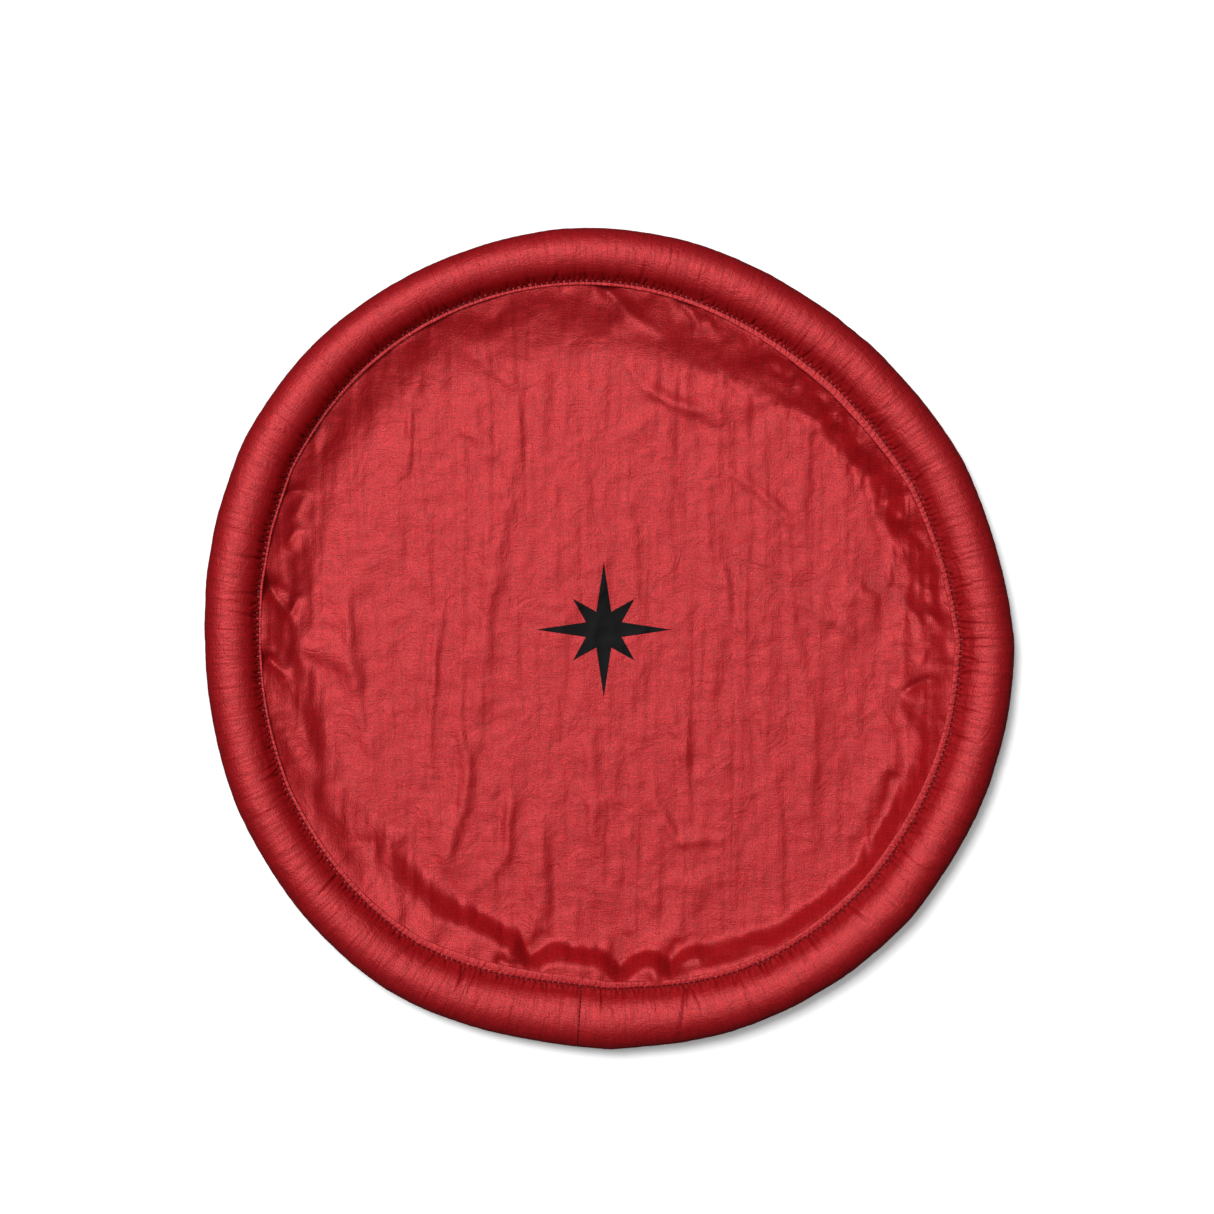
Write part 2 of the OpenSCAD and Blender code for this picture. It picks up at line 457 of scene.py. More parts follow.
def add_node(tree, kind, inputs=(), links=(), **settings):
    """Adds a node, sets its properties and input values, and links its inputs from sockets."""
    node = tree.nodes.new(kind)
    for name, value in settings.items():
        setattr(node, name, value)
    for name, value in dict(inputs).items():
        node.inputs[name].default_value = value
    for name, socket in dict(links).items():
        tree.links.new(socket, node.inputs[name])
    return node


def new_material(name, roughness, **sockets):
    """A material whose shader has the given constant inputs, and its node tree."""
    material = bpy.data.materials.new(name)
    material.use_nodes = True
    tree = material.node_tree
    shader = tree.nodes["Principled BSDF"]
    shader.inputs["Roughness"].default_value = roughness
    for socket, value in sockets.items():
        shader.inputs[socket.replace("_", " ")].default_value = value
    return material, tree, shader


def nylon(name, colour, wrinkle_size):
    """Plain-woven nylon taffeta, dyed in the piece and lightly calendered.

    Its flat filaments give broad soft highlights in the dye's own colour, so it counts as partly
    metallic, and uneven threads show as fine streaks along the warp. Real threads are 0.2 mm apart,
    too fine to show, so the weave is drawn at 0.4 mm. wrinkle_size is the width, length and depth in
    mm of the slack wrinkles along the warp."""
    material, tree, shader = new_material(name, 0.52, Specular_IOR_Level=0.62, Metallic=0.38)
    uv = add_node(tree, "ShaderNodeUVMap", uv_map="cloth").outputs["UV"]
    wrinkle_w, wrinkle_l, wrinkle_depth = wrinkle_size
    # Width, length in mm and detail: slubs of the warp and weft, the weave's grain and wrinkles.
    layers = []
    for width, length, detail in ((0.5, 7, 2), (5, 0.4, 1), (0.4, 0.4, 2), (wrinkle_w, wrinkle_l, 1)):
        stretched = add_node(tree, "ShaderNodeMapping", {"Scale": (1 / width / MM, 1 / length / MM, 1)},
                             {"Vector": uv})
        layer = add_node(tree, "ShaderNodeTexNoise",
                         {"Scale": 1, "Detail": detail, "Roughness": 0.6, "Distortion": 0.4},
                         {"Vector": stretched.outputs["Vector"]})
        layers.append(layer.outputs["Fac"])
    warp, weft, grain, wrinkle = layers
    # Crumple: the faint network of creases left by packing the disc away, about 9 mm apart.
    crumple = add_node(tree, "ShaderNodeTexNoise",
                       {"Scale": 1 / (9 * MM), "Detail": 3, "Roughness": 0.6, "Distortion": 0.8},
                       {"Vector": uv})
    ridge = add_node(tree, "ShaderNodeMath", {1: 0.5}, {0: crumple.outputs["Fac"]},
                     operation="SUBTRACT")
    crease = add_node(tree, "ShaderNodeMath", {}, {0: ridge.outputs[0]}, operation="ABSOLUTE")
    threads = add_node(tree, "ShaderNodeMath", {1: 0.8}, {0: weft, 2: warp}, operation="MULTIPLY_ADD")
    weave = add_node(tree, "ShaderNodeMath", {1: 2.6}, {0: grain, 2: threads.outputs[0]},
                     operation="MULTIPLY_ADD")
    normal = add_node(tree, "ShaderNodeBump", {"Strength": 1, "Distance": 0.06 * MM},
                      {"Height": weave.outputs[0]})
    for height, depth in ((wrinkle, wrinkle_depth), (crease.outputs[0], 0.5)):
        normal = add_node(tree, "ShaderNodeBump", {"Strength": 1, "Distance": depth * MM},
                          {"Height": height, "Normal": normal.outputs["Normal"]})
    tree.links.new(normal.outputs["Normal"], shader.inputs["Normal"])
    # The dye takes a little unevenly from thread to thread. Painted shade darkens the needle holes and
    # the tucks.
    shade = add_node(tree, "ShaderNodeMapRange",
                     {"From Min": 1.5, "From Max": 2.9, "To Min": 0.5, "To Max": 1.5},
                     {"Value": weave.outputs[0]})
    tuck = add_node(tree, "ShaderNodeAttribute", attribute_name="tuck").outputs["Fac"]
    unshaded_share = add_node(tree, "ShaderNodeMath", {0: 1}, {1: tuck}, operation="SUBTRACT")
    lit = add_node(tree, "ShaderNodeMath", {}, {0: shade.outputs["Result"], 1: unshaded_share.outputs[0]},
                   operation="MULTIPLY")
    dye = add_node(tree, "ShaderNodeMix", {0: 1, 6: colour}, {7: lit.outputs[0]},
                   data_type="RGBA", blend_type="MULTIPLY")
    tree.links.new(dye.outputs[2], shader.inputs["Base Color"])
    return material


def spun_thread(name, colour):
    """Twisted polyester sewing thread: nearly matt, its tone broken by the twist, 0.5 mm long."""
    material, tree, shader = new_material(name, 0.7, Specular_IOR_Level=0.1)
    where = add_node(tree, "ShaderNodeTexCoord").outputs["Object"]
    twist = add_node(tree, "ShaderNodeTexNoise", {"Scale": 1 / (0.5 * MM), "Detail": 1},
                     {"Vector": where})
    shade = add_node(tree, "ShaderNodeMapRange", {"To Min": 0.75, "To Max": 1.2},
                     {"Value": twist.outputs["Fac"]})
    dye = add_node(tree, "ShaderNodeMix", {0: 1, 6: colour}, {7: shade.outputs["Result"]},
                   data_type="RGBA", blend_type="MULTIPLY")
    tree.links.new(dye.outputs[2], shader.inputs["Base Color"])
    return material


def closed_cell_foam(name, colour):
    """Extruded polyethylene foam rod: a matt skin with a fine pebble of cells 0.8 mm across."""
    material, tree, shader = new_material(name, 0.75)
    where = add_node(tree, "ShaderNodeTexCoord").outputs["Object"]
    cells = add_node(tree, "ShaderNodeTexVoronoi", {"Scale": 1 / (0.8 * MM)}, {"Vector": where})
    bump = add_node(tree, "ShaderNodeBump", {"Strength": 0.5, "Distance": 0.2 * MM},
                    {"Height": cells.outputs["Distance"]})
    tree.links.new(bump.outputs["Normal"], shader.inputs["Normal"])
    tone = add_node(tree, "ShaderNodeMapRange", {"To Min": 0.92, "To Max": 1.0},
                    {"Value": cells.outputs["Distance"]})
    tint = add_node(tree, "ShaderNodeMix", {0: 1, 6: colour}, {7: tone.outputs["Result"]},
                    data_type="RGBA", blend_type="MULTIPLY")
    tree.links.new(tint.outputs[2], shader.inputs["Base Color"])
    return material


def paper_tape(name, colour):
    """Crepe paper tape: satin, with fine ribs 0.6 mm apart across its length."""
    material, tree, shader = new_material(name, 0.55)
    uv = add_node(tree, "ShaderNodeUVMap", uv_map="cloth")
    ribs = add_node(tree, "ShaderNodeTexWave",
                    {"Scale": 1 / (0.6 * MM) / TAU, "Distortion": 3, "Detail": 2},
                    {"Vector": uv.outputs["UV"]})
    bump = add_node(tree, "ShaderNodeBump", {"Strength": 0.4, "Distance": 0.1 * MM},
                    {"Height": ribs.outputs["Fac"]})
    tree.links.new(bump.outputs["Normal"], shader.inputs["Normal"])
    tone = add_node(tree, "ShaderNodeMapRange", {"To Min": 0.85, "To Max": 1.0},
                    {"Value": ribs.outputs["Fac"]})
    tint = add_node(tree, "ShaderNodeMix", {0: 1, 6: colour}, {7: tone.outputs["Result"]},
                    data_type="RGBA", blend_type="MULTIPLY")
    tree.links.new(tint.outputs[2], shader.inputs["Base Color"])
    return material


def screen_ink(name, colour):
    """Flexible screen-print ink: nearly black and satin, with the weave's grain showing through."""
    material, tree, shader = new_material(name, 0.6, Specular_IOR_Level=0.1)
    where = add_node(tree, "ShaderNodeTexCoord").outputs["Object"]
    grain = add_node(tree, "ShaderNodeTexNoise", {"Scale": 1 / (0.5 * MM), "Detail": 2},
                     {"Vector": where})
    bump = add_node(tree, "ShaderNodeBump", {"Strength": 0.4, "Distance": 0.08 * MM},
                    {"Height": grain.outputs["Fac"]})
    tree.links.new(bump.outputs["Normal"], shader.inputs["Normal"])
    tone = add_node(tree, "ShaderNodeMapRange", {"To Min": 0.6, "To Max": 1.6},
                    {"Value": grain.outputs["Fac"]})
    tint = add_node(tree, "ShaderNodeMix", {0: 1, 6: colour}, {7: tone.outputs["Result"]},
                    data_type="RGBA", blend_type="MULTIPLY")
    tree.links.new(tint.outputs[2], shader.inputs["Base Color"])
    return material


# ---- camera, light and floor ----------------------------------------------------------------

class DISC_OT_stage(bpy.types.Operator):
    """Places the camera over the disc, a broad soft light and a pale floor."""
    bl_idname = "disc.stage"
    bl_label = "Camera, light and floor"

    def execute(self, context):
        lens, sensor = 85.0, 36.0       # mm
        view_w = 373 * MM               # what the camera sees across, at the rim's height
        camera_data = bpy.data.cameras.new("camera")
        camera_data.lens = lens
        camera_data.sensor_width = sensor
        camera = bpy.data.objects.new("camera", camera_data)
        camera.location = (1.0 * MM, 10.5 * MM, RIM_Z + view_w * lens / sensor)
        context.scene.collection.objects.link(camera)
        context.scene.camera = camera

        deselect_all()
        bpy.ops.mesh.primitive_plane_add(size=6, location=(0, 0, -0.02 * MM))
        floor = context.object
        floor.name = "floor"
        # White acrylic, frosted and lit from behind: an even white with only a soft shadow on it.
        material, _, shader = new_material("studio_floor_backlit_acrylic", 0.9,
                                           Specular_IOR_Level=0.1, Emission_Strength=0.15)
        shader.inputs["Base Color"].default_value = context.scene.disc_colours.floor
        floor.data.materials.append(material)
        # The floor's glow is only for the eye: it throws no light on the disc.
        floor.visible_diffuse = False
        floor.visible_glossy = False

        self.add_light(context, "key_softbox", (-0.7, 0.88, 2.65), 0.9, 73)
        self.add_light(context, "overhead_softbox", (0, 0.1, 2.5), 0.9, 11)
        world = bpy.data.worlds.new("studio_air")
        context.scene.world = world
        world.use_nodes = True
        air = world.node_tree.nodes["Background"]
        air.inputs["Color"].default_value = (1, 1, 1, 1)
        air.inputs["Strength"].default_value = 0.035
        context.scene.view_settings.view_transform = "Standard"
        return {"FINISHED"}

    def add_light(self, context, name, place, size, power):
        """A square soft light that faces the disc."""
        data = bpy.data.lights.new(name, "AREA")
        data.size = size
        data.energy = power
        lamp = bpy.data.objects.new(name, data)
        lamp.location = place
        lamp.rotation_euler = (Vector((0, 0, 0)) - Vector(place)).to_track_quat("-Z", "Y").to_euler()
        context.scene.collection.objects.link(lamp)


# ---- the padded rim -------------------------------------------------------------------------

def sleeve_profile(a):
    """One line of cloth round the rim at each direction, from the welt's hidden edge over the rim
    to the hidden edge below: distances outward from the stitches, heights over the seam, distances
    along the cloth from the stitches, and the number of points before the stitches."""
    w = welt_w(a)[:, None]
    half_w = tube_half_w(a)[:, None]
    middle = NECK + half_w
    rise = seam_z(a)[:, None] - RIM_Z
    away = np.hypot(middle, rise)
    facing = math.pi - np.arctan2(rise, middle)     # from the foam's middle to the stitches
    open_by = np.arccos(half_w / away)              # from there to where the cloth meets the foam
    welt = np.array(WELT_LINE)
    welt_u = -welt[None, :, 0] * w
    welt_z = np.repeat(welt[None, :, 1] * MM, len(a), 0)
    t = np.linspace(0, 1, FLANK_STEPS)[None, :]
    hollow = 0.25 * MM * np.sin(math.pi * t)        # the flank is pulled in between its ends
    flanks = []
    for side in (1, -1):
        touch = facing - side * open_by
        end_u = middle + half_w * np.cos(touch)
        end_z = half_w * np.sin(touch) - rise
        start_z = side * DITCH_Z
        lean = np.hypot(end_u, end_z)
        u = t * end_u + side * hollow * end_z / lean
        z = start_z + t * (end_z - start_z) - side * hollow * end_u / lean
        flanks.append((u, z))
    turn = np.linspace(0, 1, ARC_STEPS)[None, 1:-1]
    phi = (facing - open_by) + turn * (2 * open_by - TAU)
    arc_u = middle + half_w * np.cos(phi)
    arc_z = half_w * np.sin(phi) - rise
    (up_u, up_z), (low_u, low_z) = flanks
    u = np.hstack([welt_u, up_u, arc_u, low_u[:, ::-1], welt_u[:, ::-1]])
    z = np.hstack([welt_z, up_z, arc_z, low_z[:, ::-1], -welt_z[:, ::-1]])
    inner = np.clip(u / middle, 0, 1)
    u = u + middle * (inner ** FULLNESS - inner)
    along = np.hstack([np.zeros_like(welt_u[:, :1]), np.cumsum(np.hypot(np.diff(u), np.diff(z)), 1)])
    start = welt_u.shape[1]
    return u, z, along - along[:, start:start + 1], start


def outward_from(points):
    """The outward direction of the cloth at each point of a ring of columns."""
    along = np.roll(points, -1, 0) - np.roll(points, 1, 0)
    across = np.gradient(points, axis=1)
    normal = np.cross(across, along)
    return normal / (np.linalg.norm(normal, axis=-1, keepdims=True) + 1e-12)


def stitch_count(sizes):
    """How many stitches go round the ring seam."""
    return int(round(seam_length(column_angles(3000))[1] / sizes.stitch_length))


def stitch_grooves(rng, whole, stitch, depth):
    """The groove that each stitch pulls into the sleeve: place along the seam, lean, length, depth
    and width. Some stretches of the seam are gathered more than others."""
    count = int(round(whole / stitch))
    # How much each stretch of 11 stitches is gathered, about its mean of 1.
    ease = rng.random(count + 10)
    gathered = 0.55 + 0.9 * np.convolve(ease, np.ones(11) / 11, "valid")
    grooves = []
    for k in range(count):
        long_one = rng.random() < 0.25
        length = (rng.uniform(3, 7) if long_one else rng.uniform(1.2, 3.4)) * MM
        grooves.append((k * whole / count, rng.normal(0, 0.15), length,
                        depth * gathered[k] * rng.uniform(0.3, 1.4), rng.uniform(0.22, 0.4) * MM))
    return grooves


def press_grooves(grooves, v, whole):
    """How far the grooves sink the cloth at each point of the columns, v along from the stitches."""
    n = len(v)
    column = whole / n
    sunk = np.zeros(v.shape)
    for at, lean, length, depth, width in grooves:
        # Only the columns that the groove reaches, out to where it has faded away.
        spread = int((7 * width + 2.2 * abs(lean) * length) / column) + 2
        middle = int(round(at / column))
        rows = np.arange(middle - spread, middle + spread + 1)
        beside = v[rows % n]
        off = (rows * column - at)[:, None] - lean * beside
        # It widens over the foam and fades along its length. On the welt it is short and shallow.
        wide = width * (1 + 0.35 * np.clip(beside, 0, None) / length)
        fade = np.exp(-(beside / np.where(beside < 0, 1.3 * MM, length)) ** 2)
        fade *= np.where(beside < 0, 0.35, 1)
        np.add.at(sunk, rows % n, depth * fade * np.exp(-(off / wide) ** 2))
    return sunk


class DISC_OT_sleeve(bpy.types.Operator):
    """Makes the gathered nylon sleeve round the foam, with its turned edges and end seam."""
    bl_idname = "disc.sleeve"
    bl_label = "Rim sleeve"

    def execute(self, context):
        sizes = context.scene.disc_sizes
        stitches = stitch_count(sizes)
        a = column_angles(stitches * RING_STEPS_PER_STITCH)
        s, whole = seam_length(a)
        u, z, v, start = sleeve_profile(a)
        # The tube is as high as it is anywhere, whatever its width, and the welt isn't stretched.
        stretch = 1 + (RIM_R / tube_half_w(a)[:, None] - 1) * np.clip(u / NECK, 0, 1)
        rise = seam_z(a)[:, None] - RIM_Z
        r = stitch_r(a)[:, None] + u
        points = np.stack([r * np.cos(a)[:, None], r * np.sin(a)[:, None],
                           RIM_Z + (rise + z) * stretch], -1)

        half = v.shape[1] // 2
        from_seam = np.hstack([v[:, :half], v[:, -1 - start][:, None] - v[:, half:]])
        beside_end_seam = np.exp(-((s - math.radians(0.3) * STITCH_R) / (0.35 * MM)) ** 2)[:, None]
        sunk = self.groove_depth(sizes, a, s, whole, from_seam)
        sunk = np.minimum(sunk + 0.15 * MM * beside_end_seam, 1.3 * MM)
        points = points + outward_from(points) * (self.puff(points, s, v) - sunk)[..., None]
        points[..., 2] = rounded_floor(points[..., 2], 0.25 * MM)
        uv = np.stack([np.repeat(np.append(s, whole)[:, None], v.shape[1], 1),
                       np.vstack([v, v[:1]])], -1)
        sleeve = ring_mesh("rim_sleeve", points, uv)

        # Painted shade: each needle hole is painted dark.
        pitch = whole / stitches
        from_hole = np.hypot((s[:, None] + pitch / 2) % pitch - pitch / 2, from_seam)
        hole_shade = 0.45 * np.exp(-(from_hole / (0.36 * MM)) ** 2)
        # Painted shade in the tucks: darkest beside the stitches, fading as they open out over the
        # foam, with a little painted along the end seam too.
        near = 0.2 + 0.8 * np.exp(-from_seam.clip(0) / (4 * MM))
        set_painted_shade(sleeve, hole_shade + 0.35 * near * sunk / MM + 0.1 * beside_end_seam)
        apply_modifier(sleeve, "SOLIDIFY", thickness=sizes.cloth_t, offset=-1)
        bpy.ops.object.shade_smooth()
        sleeve.data.materials.append(nylon("sleeve_nylon_taffeta", context.scene.disc_colours.cloth,
                                           (1.8, 14, 0.3)))
        across_fold(sleeve, "rim_sleeve_near", "rim_sleeve_far")
        return {"FINISHED"}

    def groove_depth(self, sizes, a, s, whole, from_seam):
        """How far the stitches' gathers and the long creases sink the cloth at each point."""
        rng = np.random.default_rng(7)
        upper = stitch_grooves(rng, whole, sizes.stitch_length, sizes.pucker)
        lower = stitch_grooves(rng, whole, sizes.stitch_length, sizes.pucker)
        for at, lean, length, depth in SLEEVE_CREASES:
            place = np.interp(turned(math.radians(at), END_SEAM_AT) % TAU, a - a[0], s)
            upper.append((place, lean, length * MM, depth * MM, 0.5 * MM))
        half = from_seam.shape[1] // 2
        return np.hstack([press_grooves(upper, from_seam[:, :half], whole),
                          press_grooves(lower, from_seam[:, half:], whole)])

    def puff(self, points, s, v):
        """How far the cloth stands out: slow bulges of the padding and shallow radial wrinkles."""
        bulges = field(points, 24 * MM, 3) * 0.28 * MM
        wrinkle_at = np.stack([np.repeat(s[:, None], v.shape[1], 1) / 2.6, v / 14, 0 * v], -1)
        wrinkles = field(wrinkle_at, MM, 5, 3) * 0.10 * MM
        # Both fade out before the stitches.
        cover = np.clip(v / (3 * MM), 0, 1) * np.clip((v.max(1, keepdims=True) - v) / (6 * MM), 0, 1)
        return (bulges + wrinkles) * cover


# ---- foam and tape --------------------------------------------------------------------------

def rod_points(a, radius, floor, sides):
    """Rings of points round the foam's centre line at each direction, kept above a floor."""
    phi = np.arange(sides) * TAU / sides
    centre = tube_centre_r(a)[:, None]
    shape = tube_half_w(a)[:, None] / RIM_R
    r = centre + radius * shape * np.cos(phi)
    z = np.broadcast_to(RIM_Z + radius * np.sin(phi), r.shape)
    z = floor + rounded_floor(z - floor, 0.15 * MM)
    return np.stack([r * np.cos(a)[:, None], r * np.sin(a)[:, None], z], -1)


def rod_mesh(name, a, radius, floor, sides):
    """A rod along part of the ring, open at its ends. Its UV map is in metres along and round it."""
    points = rod_points(a, radius, floor, sides)
    columns = np.concatenate([points, points[:, :1]], 1)
    step = np.linalg.norm(np.diff(points[:, 0], axis=0), axis=-1)
    along = np.append(0, np.cumsum(step))
    round_rod = np.arange(sides + 1) * TAU * radius / sides
    uv = np.stack(np.meshgrid(along, round_rod, indexing="ij"), -1)
    rod = ring_mesh(name, columns, uv, closed_round=False)
    apply_modifier(rod, "WELD", merge_threshold=0.001 * MM)
    return rod


class DISC_OT_core(bpy.types.Operator):
    """Makes the foam rod inside the sleeve and the tape over its joint."""
    bl_idname = "disc.core"
    bl_label = "Foam core and tape"

    def execute(self, context):
        colours = context.scene.disc_colours
        gap = 0.1 * MM / STITCH_R       # half the glued joint, as an angle
        a = math.radians(CORE_JOINT_AT) + np.linspace(gap, TAU - gap, 420)
        slack = 1.3 * MM            # room between the foam and the cloth
        foam = rod_mesh("foam_core", a, RIM_R - slack - 0.3 * MM, 0.35 * MM, 40)
        # Close the rod's two cut ends.
        make_active(foam)
        bpy.ops.object.mode_set(mode="EDIT")
        bpy.ops.mesh.select_all(action="DESELECT")
        bpy.ops.mesh.select_non_manifold(extend=False)
        bpy.ops.mesh.edge_face_add()
        bpy.ops.object.mode_set(mode="OBJECT")
        outward(foam)
        bpy.ops.object.shade_smooth_by_angle(angle=math.radians(50))
        foam.data.materials.append(closed_cell_foam("polyethylene_foam_rod", colours.foam))
        across_fold(foam, "foam_core_near", "foam_core_far")

        half = (TAPE_BOX[1].x - TAPE_BOX[0].x) / 2 / RIM_OUT    # of the tape, as an angle
        a = math.radians(CORE_JOINT_AT) + np.linspace(-half, half, 26)
        tape = rod_mesh("core_joint_tape_wrap", a, RIM_R - slack - 0.1 * MM, 0.2 * MM, 40)
        outward(tape)
        apply_modifier(tape, "SOLIDIFY", thickness=0.12 * MM, offset=-1)
        bpy.ops.object.shade_smooth_by_angle(angle=math.radians(50))
        tape.data.materials.append(paper_tape("crepe_paper_tape", colours.tape))
        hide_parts("core_joint_tape")
        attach(tape, NEAR)
        return {"FINISHED"}


# ---- the panel ------------------------------------------------------------------------------

def panel_fall(a):
    """Width of the shelf beside the seam and of the slope inside it, at each direction."""
    at = np.radians([row[0] for row in PANEL_FALL])
    shelf, slope = (np.interp(a % TAU, at, [row[k] * MM for row in PANEL_FALL], period=TAU)
                    for k in (1, 2))
    return shelf, slope


def panel_height(x, y, waver=0):
    """Height of the slack panel before its threads relax: a floor, a slope and a shelf.

    waver is how far inward the slope has strayed from its place at each point."""
    a = np.arctan2(y, x)
    inward = stitch_r(a) - np.hypot(x, y) - waver
    shelf, slope = panel_fall(a)
    t = np.clip((inward - shelf) / slope, 0, 1)
    straight = hump(a, 40, 45)          # here the cloth is drawn straight down from the seam
    t = straight * t + (1 - straight) * t * t * (3 - 2 * t)
    rest = PANEL_REST + 0.7 * MM        # it starts a little high, with room to settle
    edge = seam_z(a)
    return edge + (rest - edge) * t


def rumpled(x, y):
    """How rumpled the slope beside the seam is at each point: most at the right, behind the middle."""
    return 0.35 + 0.65 * hump(np.arctan2(y, x), 35, 40)


def crease_depth(x, y):
    """How far the creases press the panel down at each point."""
    sunk = np.zeros_like(x)
    for points, depth, width in PANEL_CREASES:
        gap, place = along_lines(x, y, points)
        sunk += depth * MM * np.sqrt(1 - place) * np.exp(-gap / (width * MM))
    return sunk


def slack_share(x, y):
    """How much of its slack the panel has at each point, most beside the loosest seams."""
    a = np.arctan2(y, x)
    return np.clip(sum(share * hump(a, at, width) for at, share, width in PANEL_SLACK), 0, 1)


def along_lines(x, y, points):
    """Distance from each point to a line of points, and its place along it from 0 to 1."""
    line = np.array(points) * MM
    lengths = np.linalg.norm(np.diff(line, axis=0), axis=1)
    nearest = np.full_like(x, np.inf)
    place = np.zeros_like(x)
    before = 0.0
    for start, end, length in zip(line[:-1], line[1:], lengths):
        along = (end - start) / length
        t = np.clip(((x - start[0]) * along[0] + (y - start[1]) * along[1]), 0, length)
        gap = np.hypot(x - start[0] - along[0] * t, y - start[1] - along[1] * t)
        closer = gap < nearest
        place = np.where(closer, (before + t) / lengths.sum(), place)
        nearest = np.where(closer, gap, nearest)
        before += length
    return nearest, place


def fold_height(x, y):
    """How far the soft folds lift the panel at each point. They taper at both ends and waver."""
    waver = cloth_field(x, y, 16, 16, 23) * 1.6 * MM
    lift = np.zeros_like(x)
    for points, height, width in PANEL_FOLDS:
        gap, place = along_lines(x + waver, y + 0.4 * waver, points)
        lift += height * MM * np.sin(math.pi * place) ** 0.7 * np.exp(-(gap / (width * MM)) ** 2)
    return lift


def relax_cloth(panel, pinned, slack):
    """Lets the panel settle as cloth: its threads are too long, so it buckles into folds."""
    scene = bpy.context.scene
    deselect_all()
    bpy.ops.mesh.primitive_plane_add(size=4, location=(0, 0, 0))
    table = bpy.context.object
    table.modifiers.new("Collision", "COLLISION")
    table.collision.thickness_outer = 0.001
    table.collision.cloth_friction = 20
    set_coords(panel, coords(panel) * SIM_SCALE)
    group = panel.vertex_groups.new(name="sewn")
    group.add([int(i) for i in np.nonzero(pinned)[0]], 1.0, "REPLACE")
    cloth = panel.modifiers.new("Cloth", "CLOTH")
    cloth.settings.quality = 8
    cloth.settings.mass = 0.02
    cloth.settings.tension_stiffness = 20
    cloth.settings.compression_stiffness = 20
    cloth.settings.shear_stiffness = 4
    cloth.settings.bending_stiffness = 6
    cloth.settings.tension_damping = 8
    cloth.settings.compression_damping = 8
    cloth.settings.shear_damping = 8
    cloth.settings.air_damping = 3
    cloth.settings.vertex_group_mass = group.name
    loose = panel.vertex_groups.new(name="slack")
    for i, share in enumerate(slack_share(*coords(panel)[:, :2].T)):
        loose.add([i], float(share), "REPLACE")
    cloth.settings.vertex_group_shrink = loose.name
    cloth.settings.shrink_min = -0.25 * slack
    cloth.settings.shrink_max = -slack
    cloth.collision_settings.distance_min = 0.004
    cloth.collision_settings.collision_quality = 3
    cloth.point_cache.frame_start = 1
    cloth.point_cache.frame_end = SIM_FRAMES
    for step in range(1, SIM_FRAMES + 1):
        scene.frame_set(step)
    settled = coords(panel.evaluated_get(bpy.context.evaluated_depsgraph_get()))
    panel.modifiers.remove(cloth)
    scene.frame_set(1)
    set_coords(panel, settled / SIM_SCALE)
    bpy.data.objects.remove(table)


